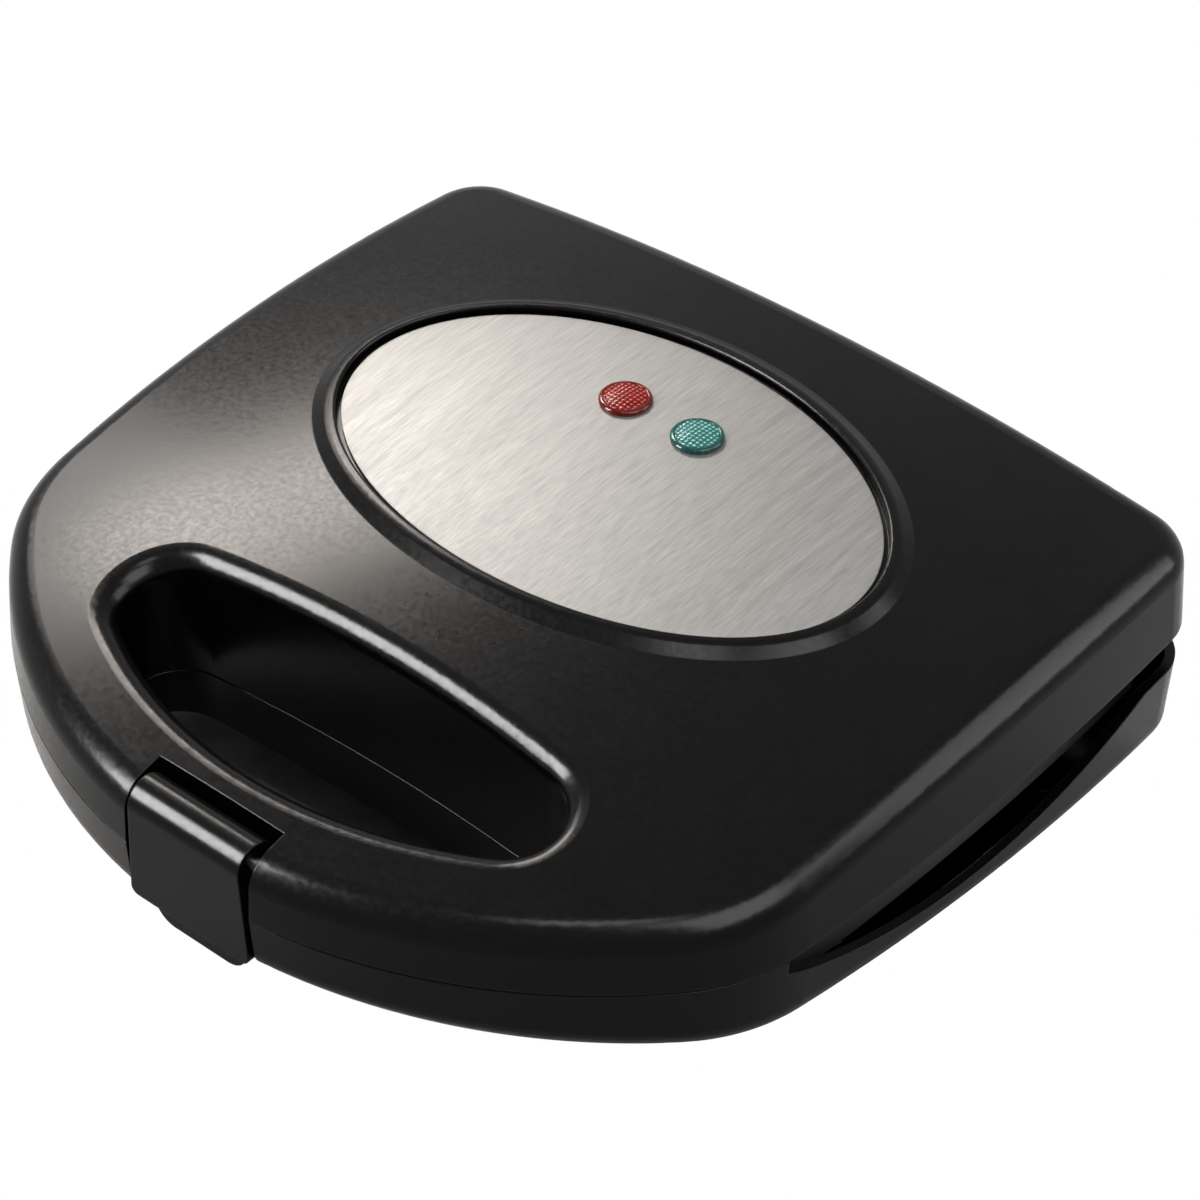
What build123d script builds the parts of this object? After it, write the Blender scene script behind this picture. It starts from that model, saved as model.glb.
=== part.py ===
from build123d import *
import math
import os

# A belgian waffle maker: a hinged clamshell with a finger grip, a front latch and two cast plates.
# Sizes are in millimetres. +X is to the right, +Y to the hinge and +Z up; the origin is on the table.

# Outer shape, seen from above
overall_depth = 218.0
half_width = 116.2
front_arc_r = 136.6
front_arc_drop = 0.9
blend_r = 46.0
side_arc_r = 900.0
side_arc_back = 75.0
corner_r = 15.5

# Heights and walls
seam_z = 43.1
lid_rise = 33.3
parting_gap = 0.4
wall = 2.5
draft = 3.5
crown_r = 701.0
crown_back = 56.7
lid_edge_r = 8.0
keel_r = 1360.0
keel_behind = 34.0
keel_z = 4.5
base_edge_r = 7.0
past = 1.0
far_out = 200.0

# Finger grip hole through lid and base
grip_bar = 23.0
grip_back_gap = 4.5
grip_back_r = 500.0
grip_end_share = 0.3
grip_wall = 2.2
grip_lip_r = 5.6
grip_skirt = 10.0
grip_edge_margin = 9.0

# Oval trim plate, its bead and the two lenses
plate_a = 71.8
plate_b = 45.5
plate_ahead = 5.0
plate_sheet = 1.0
trim_gap = 1.3
bead_width = 5.7
bead_height = 1.8
bead_flank = 3.4
bead_ridge_r = 3.0
bead_inner_r = 0.6
lens_x = 10.8
lens_back = 19.1
lens_r = 6.35
lens_dome = 1.7
lens_rim = 0.6
lens_stem_r = 4.4
lens_stem = 4.2
lens_base = 0.5
lens_clearance = 0.15

# Latch, its pocket in lid and base, and its pin
latch_pivot_z = 54.5
latch_knuckle_r = 5.6
latch_top_half = 16.5
latch_foot_half = 17.9
latch_sheet = 3.0
latch_foot_z = 29.2
latch_corner_r = 2.0
latch_hook_z = 32.1
tongue_half = 14.0
tongue_z = 22.0
tongue_corner_r = 6.0
pocket_half = 18.6
pocket_back_gap = 1.1
pocket_wall = 2.0
hook_back_gap = 1.2
ledge_height = 3.4
ledge_gap = 0.4
ledge_front_gap = 0.5
latch_pin_r = 1.5
latch_pin_play = 0.06

# Side openings below the lid's edge
side_dip_r = 175.0
side_dip_ahead = 5.0
side_dip_z = 23.3
side_step_gap = 0.5
rear_edge_z = 32.6
rear_edge_back = 30.0
liner_r = 310.0
liner_behind = 3.0
liner_z = 45.0
liner_sheet = 1.8
liner_front_gap = 1.5
liner_rear_gap = 9.0
liner_drop = 8.0

# Hinge
hinge_back = 7.0
hinge_z = 42.0
hinge_x = 80.0
ear_sheet = 7.0
ear_r = 5.0
ear_gap = 0.4
lug_half = 10.5
lug_r = 4.5
lug_rise = 18.0
lug_clear = 0.6
hinge_notch_rise = 8.0
hinge_notch_gap = 2.0
hinge_pin_r = 2.5
hinge_pin_play = 0.06

# Inner frames and waffle plates, depths measured from the parting plane
cook_back = 85.0
frame_front_margin = 5.5
frame_rear_margin = 8.0
frame_face = 0.7
frame_depth = 6.2
base_frame_inset = 8.5
lid_frame_inset = 3.0
frame_skirt = 18.0
frame_skirt_sheet = 2.0
flange_side_margin = 18.2
flange_half_y = 61.0
flange_depth = 3.65
flange_r = 10.0
seat_clearance = 0.3
flange_lip_x = 5.0
body_half_y = 55.5
plate_depth = 12.0
plate_face = 0.15
pocket_gap = 6.0
pocket_rim = 5.0
waffle_depth = 9.5
peg_rise = 7.5
peg_base = 13.0
peg_top = 9.0
peg_columns = 4
peg_rows = 5
peg_margin = 1.5
pocket_corner_r = 6.0
pocket_taper = 8.0

# Heaters, clips, reflectors and posts
heater_r = 3.0
heater_side_inset = 17.0
heater_half_y = 36.0
heater_bend_r = 12.0
heater_lead_x = 13.0
heater_end_ahead = 10.0
clip_height = 6.8
clip_width = 18.0
clip_length = 9.0
reflector_depth = 19.0
reflector_sheet = 0.6
reflector_side_margin = 12.2
reflector_end_margin = 6.0
reflector_corner_r = 6.0
post_side_margin = 14.7
post_half_y = 40.0
post_r = 3.5
boss_r = 4.0

# Screws
screw_r = 1.5
screw_hole_r = 1.7
screw_head_r = 2.5
screw_head = 2.0
case_screw_bite = 10.0
screw_end_gap = 0.2
screw_head_gap = 0.3
screw_seat_sheet = 0.8
plate_screw_x = 60.0
plate_screw_margin = 2.2
plate_screw_bite = 2.6

# Lamps and controls
lamp_r = 2.6
lamp_length = 5.5
lamp_gap = 0.3
lamp_board_sheet = 1.2
lamp_board_half_x = 24.0
lamp_board_half_y = 5.0
lamp_screw_x = 20.5
lamp_boss_r = 2.6
lamp_screw_r = 1.1
lamp_screw_head = 1.2
lamp_screw_bite = 4.0
thermostat_r = 8.0
thermostat_height = 10.0
thermostat_behind = 5.0
thermostat_hole_gap = 1.0
heater_pin_r = 1.2
heater_pin = 6.0
fuse_r = 2.0
fuse_length = 14.0
fuse_ahead = 21.0
fuse_depth = 23.0
fuse_seat_half = 3.0
block_length = 32.0
block_width = 16.0
block_top = 21.8
block_x = 30.0
block_ahead = 46.0
inlet_z = 18.0
inlet_bore_r = 3.6
inlet_r = 6.0
inlet_flange_r = 8.0
inlet_flange = 1.4
inlet_length = 10.0

# Internal leads
wire_r = 1.1
wire_bend_r = 2.5
wire_hole_r = 2.6
wire_cross_ahead = 62.0
wire_spacing = 3.0
wire_board_gap = 8.0
wire_block_inset = 6.0
wire_block_run = 10.0
lid_wire_height = 23.5
lid_wire_low = 12.0

# Feet
front_foot_margin = 44.2
front_foot_behind = 44.0
rear_foot_margin = 30.2
rear_foot_ahead = 58.0
leg_r = 9.0
foot_r = 8.0
foot_height = 4.0
foot_plug_r = 2.5
foot_plug = 4.0
foot_plug_gap = 0.5

# Places that follow from the sizes above
rear_y = overall_depth / 2
front_y = -overall_depth / 2
cook_y = rear_y - cook_back
crown_y = rear_y - crown_back
keel_y = rear_y + keel_behind
front_arc = (0.0, front_y - front_arc_drop + front_arc_r)
side_arc = (half_width - side_arc_r, rear_y - side_arc_back)
frame_front_y = cook_y - flange_half_y - frame_front_margin
frame_rear_y = cook_y + flange_half_y + frame_rear_margin
grip_front_r = front_arc_r - grip_bar
grip_back_y = frame_front_y - grip_back_gap
grip_front_y = front_y - front_arc_drop + grip_bar
grip_end_r = grip_end_share * (grip_back_y - grip_front_y)
flange_half_x = half_width - flange_side_margin
body_half_x = flange_half_x - flange_lip_x
heater_half_x = body_half_x - heater_side_inset
reflector_half_x = half_width - reflector_side_margin
reflector_half_y = post_half_y + reflector_end_margin
post_x = half_width - post_side_margin
front_foot_x = half_width - front_foot_margin
rear_foot_x = half_width - rear_foot_margin
plate_y = cook_y + plate_ahead
side_dip_y = cook_y + side_dip_ahead
side_step_y = frame_front_y - side_step_gap
rear_edge_y = rear_y - rear_edge_back
liner_y = cook_y - liner_behind
liner_front_y = frame_front_y + liner_front_gap
liner_rear_y = frame_rear_y - liner_rear_gap
hinge_y = rear_y - hinge_back
thermostat_y = cook_y - thermostat_behind
fuse_y = cook_y + fuse_ahead
block_y = cook_y + block_ahead
wire_cross_y = cook_y + wire_cross_ahead
heater_end_y = cook_y + heater_end_ahead
front_foot_y = cook_y - front_foot_behind
rear_foot_y = cook_y + rear_foot_ahead
crown_z = seam_z + lid_rise
parting_z = seam_z - parting_gap / 2
latch_pivot_y = front_y + latch_knuckle_r
lid_pocket_y = latch_pivot_y + latch_knuckle_r + pocket_back_gap
hook_back_y = front_y + 2 * latch_sheet
base_pocket_y = hook_back_y + hook_back_gap
ledge_front_y = front_y + latch_sheet + ledge_front_gap
high = crown_z + far_out


def meet(centre_a, radius_a, centre_b, radius_b, turn):
    """The crossing of two circles to the left (turn 1) or right (turn -1) of the line from a to b."""
    dx = centre_b[0] - centre_a[0]
    dy = centre_b[1] - centre_a[1]
    gap = math.hypot(dx, dy)
    along = (gap**2 + radius_a**2 - radius_b**2) / (2 * gap)
    side = turn * math.sqrt(radius_a**2 - along**2)
    return (
        centre_a[0] + (along * dx - side * dy) / gap,
        centre_a[1] + (along * dy + side * dx) / gap,
    )


def on_circle(centre, radius, towards):
    """The point of a circle on the ray from its centre through another point."""
    angle = math.atan2(towards[1] - centre[1], towards[0] - centre[0])
    return (centre[0] + radius * math.cos(angle), centre[1] + radius * math.sin(angle))


def arc(centre, radius, start, end):
    """The short arc between two points of a circle."""
    middle = ((start[0] + end[0]) / 2, (start[1] + end[1]) / 2)
    return ThreePointArc(start, on_circle(centre, radius, middle), end)


def mirrored(point):
    return (-point[0], point[1])


def outline(inset=0.0):
    """The D-shaped plan of the casing at the seam, moved inwards by inset."""
    blend = meet(front_arc, front_arc_r - blend_r, side_arc, side_arc_r - blend_r, 1)
    corner_y = rear_y - corner_r
    reach = side_arc_r - corner_r
    corner = (side_arc[0] + math.sqrt(reach**2 - (corner_y - side_arc[1]) ** 2), corner_y)
    front_end = on_circle(front_arc, front_arc_r - inset, blend)
    side_start = on_circle(side_arc, side_arc_r - inset, blend)
    side_end = on_circle(side_arc, side_arc_r - inset, corner)
    rear_end = (corner[0], rear_y - inset)
    right = [
        arc(blend, blend_r - inset, front_end, side_start),
        arc(side_arc, side_arc_r - inset, side_start, side_end),
        arc(corner, corner_r - inset, side_end, rear_end),
    ]
    front = ThreePointArc(
        mirrored(front_end), (0, front_arc[1] - front_arc_r + inset), front_end
    )
    rear = Line(rear_end, mirrored(rear_end))
    left = [mirror(edge, about=Plane.YZ) for edge in right]
    return make_face([front, *right, rear, *left])


def grip_outline(grow=0.0):
    """The plan of the finger hole, grown outwards by grow."""
    back_arc = (0.0, grip_back_y - grip_back_r)
    end = meet(front_arc, grip_front_r - grip_end_r, back_arc, grip_back_r - grip_end_r, 1)
    front_end = on_circle(front_arc, grip_front_r + grow, end)
    back_end = on_circle(back_arc, grip_back_r + grow, end)
    side = (end[0] + grip_end_r + grow, end[1])
    right = [
        arc(end, grip_end_r + grow, front_end, side),
        arc(end, grip_end_r + grow, side, back_end),
    ]
    front = ThreePointArc(
        mirrored(front_end), (0, front_arc[1] - grip_front_r - grow), front_end
    )
    back = ThreePointArc(back_end, (0, grip_back_y + grow), mirrored(back_end))
    left = [mirror(edge, about=Plane.YZ) for edge in right]
    return make_face([front, *right, back, *left])


def prism(face, low, top):
    """A straight block over a plan, from height low to height top."""
    return Pos(0, 0, low) * extrude(face, amount=top - low)


def box(low, far):
    """A block between two opposite corners."""
    size = [far[i] - low[i] for i in range(3)]
    centre = [(far[i] + low[i]) / 2 for i in range(3)]
    return Pos(*centre) * Box(*size)


def rod(x, y, low, top, radius):
    """An upright cylinder."""
    return Pos(x, y, (low + top) / 2) * Cylinder(radius, top - low)


def rod_x(x_low, x_high, y, z, radius):
    """A cylinder along X."""
    return Pos((x_low + x_high) / 2, y, z) * Rot(0, 90, 0) * Cylinder(radius, x_high - x_low)


def rod_y(x, y_low, y_high, z, radius):
    """A cylinder along Y."""
    return Pos(x, (y_low + y_high) / 2, z) * Rot(90, 0, 0) * Cylinder(radius, y_high - y_low)


def crown_height(x, y):
    """Height of the lid's domed top."""
    return crown_z - crown_r + math.sqrt(crown_r**2 - x**2 - (y - crown_y) ** 2)


def keel_height(x, y):
    """Height of the base's curved underside."""
    return keel_z + keel_r - math.sqrt(keel_r**2 - x**2 - (y - keel_y) ** 2)


def crown_ball(grow=0.0):
    return Pos(0, crown_y, crown_z - crown_r) * Sphere(crown_r + grow)


def keel_ball(grow=0.0):
    return Pos(0, keel_y, keel_z + keel_r) * Sphere(keel_r + grow)


def sphere_edges(solid, radius):
    """The edges around the spherical face of one radius."""
    faces = [f for f in solid.faces().filter_by(GeomType.SPHERE) if abs(f.radius - radius) < 0.01]
    return faces[0].edges()


def lid_form(inset=0.0):
    """The solid outer shape of the lid, or the shape inside its wall."""
    block = Pos(0, 0, seam_z) * extrude(outline(inset), amount=lid_rise + lid_edge_r, taper=draft)
    dome = block & crown_ball(-inset)
    return fillet(sphere_edges(dome, crown_r - inset), lid_edge_r - inset)


def base_form(inset=0.0):
    """The solid outer shape of the base, or the shape inside its wall."""
    top = seam_z - parting_gap
    block = Pos(0, 0, top) * extrude(outline(inset), amount=-(top + base_edge_r), taper=draft)
    hull = block & keel_ball(-inset)
    return fillet(sphere_edges(hull, keel_r - inset), base_edge_r - inset)


def ellipse_prism(grow, low, top):
    """A block over the trim plate's ellipse, grown outwards by grow."""
    face = make_face(Ellipse(plate_a + grow, plate_b + grow).edges())
    return Pos(0, plate_y, low) * extrude(face, amount=top - low)


def lens_places():
    return [(-lens_x, plate_y + lens_back), (lens_x, plate_y + lens_back)]


def case_screw_places():
    return [
        (sx * post_x, cook_y + sy * post_half_y)
        for sx in (-1, 1)
        for sy in (-1, 1)
    ]


def foot_places():
    return [
        (sx * x, y)
        for sx in (-1, 1)
        for x, y in ((front_foot_x, front_foot_y), (rear_foot_x, rear_foot_y))
    ]


# Latch pocket, cut through the front of both casings
def pocket(back_y, grow=0.0):
    """The clear space for the latch, or that space with its walls."""
    return box(
        (-pocket_half - grow, front_y - far_out, -past),
        (pocket_half + grow, back_y + grow, high),
    )


def latch_pin_rod(reach, radius):
    """A cylinder along the latch's axis."""
    return rod_x(-reach, reach, latch_pivot_y, latch_pivot_z, radius)


# Lid casing
def is_grip_edge(edge):
    """True for an edge that runs round the finger hole."""
    middle = edge @ 0.5
    inside_x = abs(middle.X) < half_width / 2 + 8
    inside_y = grip_front_y - grip_edge_margin < middle.Y < grip_back_y + grip_lip_r + 4
    return inside_x and inside_y


def grip_edges(solid, radius):
    return [edge for edge in sphere_edges(solid, radius) if is_grip_edge(edge)]


def lid_cavity():
    """The hollow of the lid, which leaves walls round the finger hole and the latch pocket."""
    hollow = lid_form(wall) - prism(grip_outline(grip_wall), seam_z - past, high)
    hollow = fillet(grip_edges(hollow, crown_r - wall), grip_lip_r + grip_wall)
    mouth = prism(outline(wall) - grip_outline(grip_wall), seam_z - past, seam_z)
    return hollow + mouth - pocket(lid_pocket_y, pocket_wall)


def hinge_notch(side):
    """The gap in the lid's rear wall that clears one hinge of the base."""
    reach = lug_half + ear_gap + ear_sheet + lug_clear
    return box(
        (side * hinge_x - reach, hinge_y - ear_r - hinge_notch_gap, 0),
        (side * hinge_x + reach, rear_y + past, hinge_z + hinge_notch_rise),
    )


def hinge_rod(side, reach, radius):
    """A cylinder along the hinge axis, centred on one hinge."""
    return rod_x(side * hinge_x - reach, side * hinge_x + reach, hinge_y, hinge_z, radius)


def hinge_lug(side):
    """One knuckle that hangs from the lid's rear wall between two ears."""
    low = (side * hinge_x - lug_half, hinge_y - lug_r, hinge_z)
    far = (side * hinge_x + lug_half, hinge_y + lug_r, hinge_z + lug_rise)
    return box(low, far) + hinge_rod(side, lug_half, lug_r)


def lid_boss(x, y, low, radius):
    """A boss that hangs from the lid's dome down to height low."""
    return rod(x, y, low, high, radius) & crown_ball(-wall / 2)


def lamp_board_z():
    """Height of the top of the board that carries the lamps."""
    x, y = lens_places()[1]
    return crown_height(x, y) - lens_stem - lamp_gap - lamp_length


def lamp_screw_places():
    y = plate_y + lens_back
    return [(-lamp_screw_x, y), (lamp_screw_x, y)]


def make_bead():
    """The raised ring round the trim plate, before its recess: its outer flank runs out into the dome."""
    foot = crown_height(plate_a, plate_y) - 2 * bead_height
    ring = ellipse_prism(trim_gap + bead_width, foot, high) & crown_ball(bead_height)
    top = ring.faces().sort_by(Axis.Z)[-1]
    rim = sphere_edges(ring, crown_r + bead_height)
    ring = chamfer(rim, bead_flank, bead_height, reference=top)
    return fillet(sphere_edges(ring, crown_r + bead_height), bead_ridge_r)


def make_lid_shell():
    """The lid's casing: domed top, bead, finger hole, latch pocket, bosses and hinge lugs."""
    hole = prism(grip_outline(), 0, high)
    recess = ellipse_prism(trim_gap, seam_z, high) - crown_ball(-plate_sheet)
    dome = lid_form() + make_bead() - recess
    dome = fillet(sphere_edges(dome, crown_r + bead_height), bead_inner_r) - hole
    dome = fillet(grip_edges(dome, crown_r), grip_lip_r)
    shell = dome - lid_cavity() - pocket(lid_pocket_y)
    skirt = prism(grip_outline(grip_wall), seam_z - grip_skirt, seam_z)
    shell = shell + (skirt - hole)
    for x, y in lens_places():
        shell = shell - rod(x, y, seam_z, high, lens_stem_r + lens_clearance)
    for x, y in lamp_screw_places():
        shell = shell + lid_boss(x, y, lamp_board_z(), lamp_boss_r)
        shell = shell - rod(x, y, seam_z, crown_height(x, y) - wall, lamp_screw_r)
    for side in (-1, 1):
        shell = shell - hinge_notch(side) + hinge_lug(side)
        shell = shell - hinge_rod(side, lug_half + past, hinge_pin_r + hinge_pin_play)
    for x, y in case_screw_places():
        low = parting_z + reflector_depth + reflector_sheet
        shell = shell + lid_boss(x, y, low, boss_r)
        shell = shell - rod(x, y, seam_z, lid_screw_top(x, y), screw_r)
    return shell - latch_pin_rod(pocket_half + pocket_wall, latch_pin_r)


# Base casing
def side_dip():
    """What is cut from the top of the base's walls, behind the finger hole."""
    bowl = rod_x(-far_out, far_out, side_dip_y, side_dip_z + side_dip_r, side_dip_r)
    bowl = bowl & box((-far_out, side_step_y, 0), (far_out, far_out, seam_z))
    return bowl + box((-far_out, rear_edge_y, rear_edge_z), (far_out, far_out, seam_z))


def hinge_ears():
    """The ears of both hinges, standing on the base's floor against its rear wall."""
    inside = base_form(wall / 2)
    split_z = rear_edge_z - past
    ears = []
    for side in (-1, 1):
        for way in (-1, 1):
            near = side * hinge_x + way * (lug_half + ear_gap)
            low_x, far_x = sorted((near, near + way * ear_sheet))
            root = box((low_x, hinge_y - ear_r, 0), (far_x, rear_y, split_z)) & inside
            post = box((low_x, hinge_y - ear_r, split_z - past), (far_x, hinge_y + ear_r, hinge_z))
            ears.append(root + post + rod_x(low_x, far_x, hinge_y, hinge_z, ear_r))
    return ears


def base_cavity():
    """The hollow of the base, which leaves walls round the finger hole and the latch pocket."""
    hollow = base_form(wall) + prism(outline(wall), seam_z - parting_gap, seam_z)
    tube = prism(grip_outline(grip_wall), 0, seam_z - grip_skirt - parting_gap)
    return hollow - tube - pocket(base_pocket_y, pocket_wall)


def floor_post(x, y, top, radius):
    """A round post from the base's floor up to height top."""
    return rod(x, y, 0, top, radius) & keel_ball(-wall / 2)


def screw_seat_z(x, y):
    """Height of the step under which a case screw's head lies in the base."""
    return keel_height(x, y) + screw_head + screw_seat_sheet


def make_base_shell():
    """The base's casing: walls, finger hole, latch ledge, bosses, legs and hinge ears."""
    shell = base_form() - base_cavity() - prism(grip_outline(), 0, high)
    shell = shell - pocket(base_pocket_y) - side_dip()
    shell = shell + box(
        (-pocket_half - pocket_wall / 2, ledge_front_y, latch_hook_z + ledge_gap),
        (pocket_half + pocket_wall / 2, base_pocket_y + past, latch_hook_z + ledge_gap + ledge_height),
    )
    shell = shell + hinge_ears()
    for side in (-1, 1):
        shell = shell - hinge_rod(side, lug_half + ear_gap + ear_sheet, hinge_pin_r)
    for x, y in case_screw_places():
        shell = shell + floor_post(x, y, parting_z - reflector_depth - reflector_sheet, boss_r)
        shell = shell - rod(x, y, 0, parting_z, screw_hole_r)
        shell = shell - rod(x, y, 0, screw_seat_z(x, y), screw_head_r + screw_head_gap)
    for x, y in foot_places():
        shell = shell + rod(x, y, foot_height, keel_height(x, y) + wall, leg_r)
        shell = shell - rod(x, y, 0, foot_height + foot_plug + foot_plug_gap, foot_plug_r)
    return shell - rod_y(0, rear_y - inlet_length, rear_y, inlet_z, inlet_r)


# Inner pieces, drawn for the base with their face at height 0 and their depth downwards
def rounded_plate(half_x, half_y, radius, low, top):
    """An upright block with rounded corners over the cooking area."""
    face = make_face(RectangleRounded(2 * half_x, 2 * half_y, radius).edges())
    return Pos(0, cook_y, low) * extrude(face, amount=top - low)


def frame_area(inset, front, rear, low, top):
    """A block over the casing's plan, cut straight in front and behind."""
    return prism(outline(inset), low, top) & box((-far_out, front, low), (far_out, rear, top))


def plate_screw_places():
    return [
        (sx * plate_screw_x, cook_y + sy * (flange_half_y - plate_screw_margin))
        for sx in (-1, 1)
        for sy in (-1, 1)
    ]


def frame_panel(inset):
    """The flat frame that holds a waffle plate, with its four posts."""
    panel = frame_area(inset, frame_front_y, frame_rear_y, -frame_depth, -frame_face)
    panel = panel - rounded_plate(
        flange_half_x + seat_clearance, flange_half_y + seat_clearance, flange_r, -flange_depth, 0
    )
    panel = panel - rounded_plate(
        body_half_x + seat_clearance, body_half_y + seat_clearance, flange_r, -frame_depth, 0
    )
    for x, y in case_screw_places():
        panel = panel + rod(x, y, -reflector_depth, -frame_depth, post_r)
    for x, y in plate_screw_places():
        panel = panel - rod(x, y, -frame_depth, 0, screw_hole_r)
    return panel


def ring_wall(inset, sheet, front, rear, low, top):
    """A thin wall that follows the casing's plan between two heights."""
    outer = frame_area(inset, front, rear, low, top)
    return outer - frame_area(inset + sheet, front + sheet, rear - sheet, low, top)


def make_base_frame():
    """The frame in the base, with a skirt down to the floor and threaded posts."""
    skirt = ring_wall(
        base_frame_inset, frame_skirt_sheet, frame_front_y, frame_rear_y, -frame_skirt, -frame_depth
    )
    frame = frame_panel(base_frame_inset) + skirt
    for x, y in case_screw_places():
        top = -reflector_depth + case_screw_bite + screw_end_gap
        frame = frame - rod(x, y, -reflector_depth, top, screw_r)
    return frame


def make_lid_frame():
    """The frame in the lid, drawn upside down, with its arched side liners and counterbored posts."""
    arch = rod_x(-far_out, far_out, liner_y, parting_z - (liner_z - liner_r), liner_r)
    liner = frame_area(lid_frame_inset, liner_front_y, liner_rear_y, -frame_face, liner_drop)
    liner = liner - prism(outline(lid_frame_inset + liner_sheet), -past, liner_drop)
    frame = frame_panel(lid_frame_inset) + (liner - arch)
    for x, y in case_screw_places():
        frame = frame - rod(x, y, -reflector_depth, 0, screw_hole_r)
        frame = frame - rod(x, y, -frame_face - screw_head - screw_end_gap, 0, screw_head_r + screw_head_gap)
    return frame


def waffle_pegs(x_low, x_high, y_low, y_high):
    """The grid of tapered pegs on the floor of one waffle pocket."""
    step_x = (x_high - x_low) / peg_columns
    step_y = (y_high - y_low) / peg_rows
    slope = math.degrees(math.atan((peg_base - peg_top) / 2 / peg_rise))
    peg = extrude(Rectangle(peg_base, peg_base), amount=peg_rise, taper=slope)
    floor = -plate_face - waffle_depth
    return [
        Pos(x_low + (i + 0.5) * step_x, y_low + (j + 0.5) * step_y, floor) * peg
        for i in range(peg_columns)
        for j in range(peg_rows)
    ]


def make_waffle_plate():
    """A cast plate with two waffle pockets, its flange and its screw holes."""
    plate = rounded_plate(body_half_x, body_half_y, flange_r, -plate_depth, -plate_face)
    plate = plate + rounded_plate(flange_half_x, flange_half_y, flange_r, -flange_depth, -plate_face)
    length_x = body_half_x - pocket_rim - pocket_gap / 2
    length_y = 2 * (body_half_y - pocket_rim)
    mouth = RectangleRounded(length_x, length_y, pocket_corner_r)
    hollow = extrude(mouth, amount=waffle_depth, taper=pocket_taper)
    for side in (-1, 1):
        middle = side * (pocket_gap + length_x) / 2
        plate = plate - Pos(middle, cook_y, -plate_face) * Rot(180, 0, 0) * hollow
        reach_x = length_x / 2 - peg_margin
        reach_y = length_y / 2 - peg_margin
        plate = plate + waffle_pegs(middle - reach_x, middle + reach_x, cook_y - reach_y, cook_y + reach_y)
    for x, y in plate_screw_places():
        plate = plate - rod(x, y, -flange_depth, -flange_depth + plate_screw_bite, screw_r)
    return plate


def make_heater():
    """The bent tubular heater that lies against a plate's back, with its two pins."""
    depth = -plate_depth - heater_r
    rear = cook_y + heater_half_y
    front = cook_y - heater_half_y
    points = [
        (-heater_lead_x, heater_end_y, depth),
        (-heater_lead_x, rear, depth),
        (-heater_half_x, rear, depth),
        (-heater_half_x, front, depth),
        (heater_half_x, front, depth),
        (heater_half_x, rear, depth),
        (heater_lead_x, rear, depth),
        (heater_lead_x, heater_end_y, depth),
    ]
    path = FilletPolyline(*points, radius=[heater_bend_r] * (len(points) - 2))
    tube = sweep(Plane(origin=path @ 0, z_dir=path % 0) * Circle(heater_r), path=path)
    for x in (-heater_lead_x, heater_lead_x):
        tube = tube + rod_y(x, heater_end_y - heater_pin, heater_end_y + past, depth, heater_pin_r)
    return tube


def clip_section():
    """A saddle clip's section across the heater, with its top at height 0 and a U-shaped groove."""
    half = clip_width / 2
    sides = Polyline(
        (-heater_r, -heater_r),
        (-heater_r, 0),
        (-half, 0),
        (-half, -clip_height),
        (half, -clip_height),
        (half, 0),
        (heater_r, 0),
        (heater_r, -heater_r),
    )
    groove = ThreePointArc((heater_r, -heater_r), (0, -2 * heater_r), (-heater_r, -heater_r))
    return make_face([*sides.edges(), groove])


def make_heater_clips():
    """Six saddle clips that hold the heater against the plate."""
    section = clip_section()
    half = clip_length / 2
    clips = []
    for x in (-heater_half_x, heater_half_x):
        across = Plane(origin=(x, cook_y + half, -plate_depth), x_dir=(1, 0, 0), z_dir=(0, -1, 0))
        clips.append(extrude(across * section, amount=clip_length))
    for x in (-heater_half_x / 2, heater_half_x / 2):
        for y in (cook_y - heater_half_y, cook_y + heater_half_y):
            across = Plane(origin=(x - half, y, -plate_depth), x_dir=(0, 1, 0), z_dir=(1, 0, 0))
            clips.append(extrude(across * section, amount=clip_length))
    return clips


def make_reflector(holes):
    """The thin sheet behind a heater, with round holes of given place and radius."""
    low = -reflector_depth - reflector_sheet
    sheet = rounded_plate(reflector_half_x, reflector_half_y, reflector_corner_r, low, -reflector_depth)
    holes = holes + [(x, y, screw_hole_r) for x, y in case_screw_places()]
    for x, y, radius in holes:
        sheet = sheet - rod(x, y, low, -reflector_depth, radius)
    return sheet


def make_plate_screws():
    """The screws that pull a plate's flange onto its frame."""
    shank_top = -flange_depth + plate_screw_bite - screw_end_gap
    return [
        rod(x, y, -frame_depth, shank_top, screw_r)
        + rod(x, y, -frame_depth - screw_head, -frame_depth, screw_head_r)
        for x, y in plate_screw_places()
    ]


def wire(points):
    """An insulated lead along straight runs joined by arcs."""
    path = FilletPolyline(*points, radius=[wire_bend_r] * (len(points) - 2))
    return sweep(Plane(origin=path @ 0, z_dir=path % 0) * Circle(wire_r), path=path)


def wire_hole(side):
    """Place and radius of the reflector hole for one heater lead."""
    return (side * heater_lead_x, wire_drop_y(), wire_hole_r)


def wire_drop_y():
    """Where the heater leads turn away from the plate."""
    return heater_end_y - heater_pin - 2 * wire_bend_r


# Small pieces
def lid_screw_top(x, y):
    """Height of the blind end of a case screw's hole in the lid."""
    return crown_height(x, y) - wall / 2


def make_base_case_screws():
    screws = []
    for x, y in case_screw_places():
        seat = screw_seat_z(x, y)
        top = parting_z - reflector_depth + case_screw_bite
        screws.append(rod(x, y, seat, top, screw_r) + rod(x, y, seat - screw_head, seat, screw_head_r))
    return screws


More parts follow.
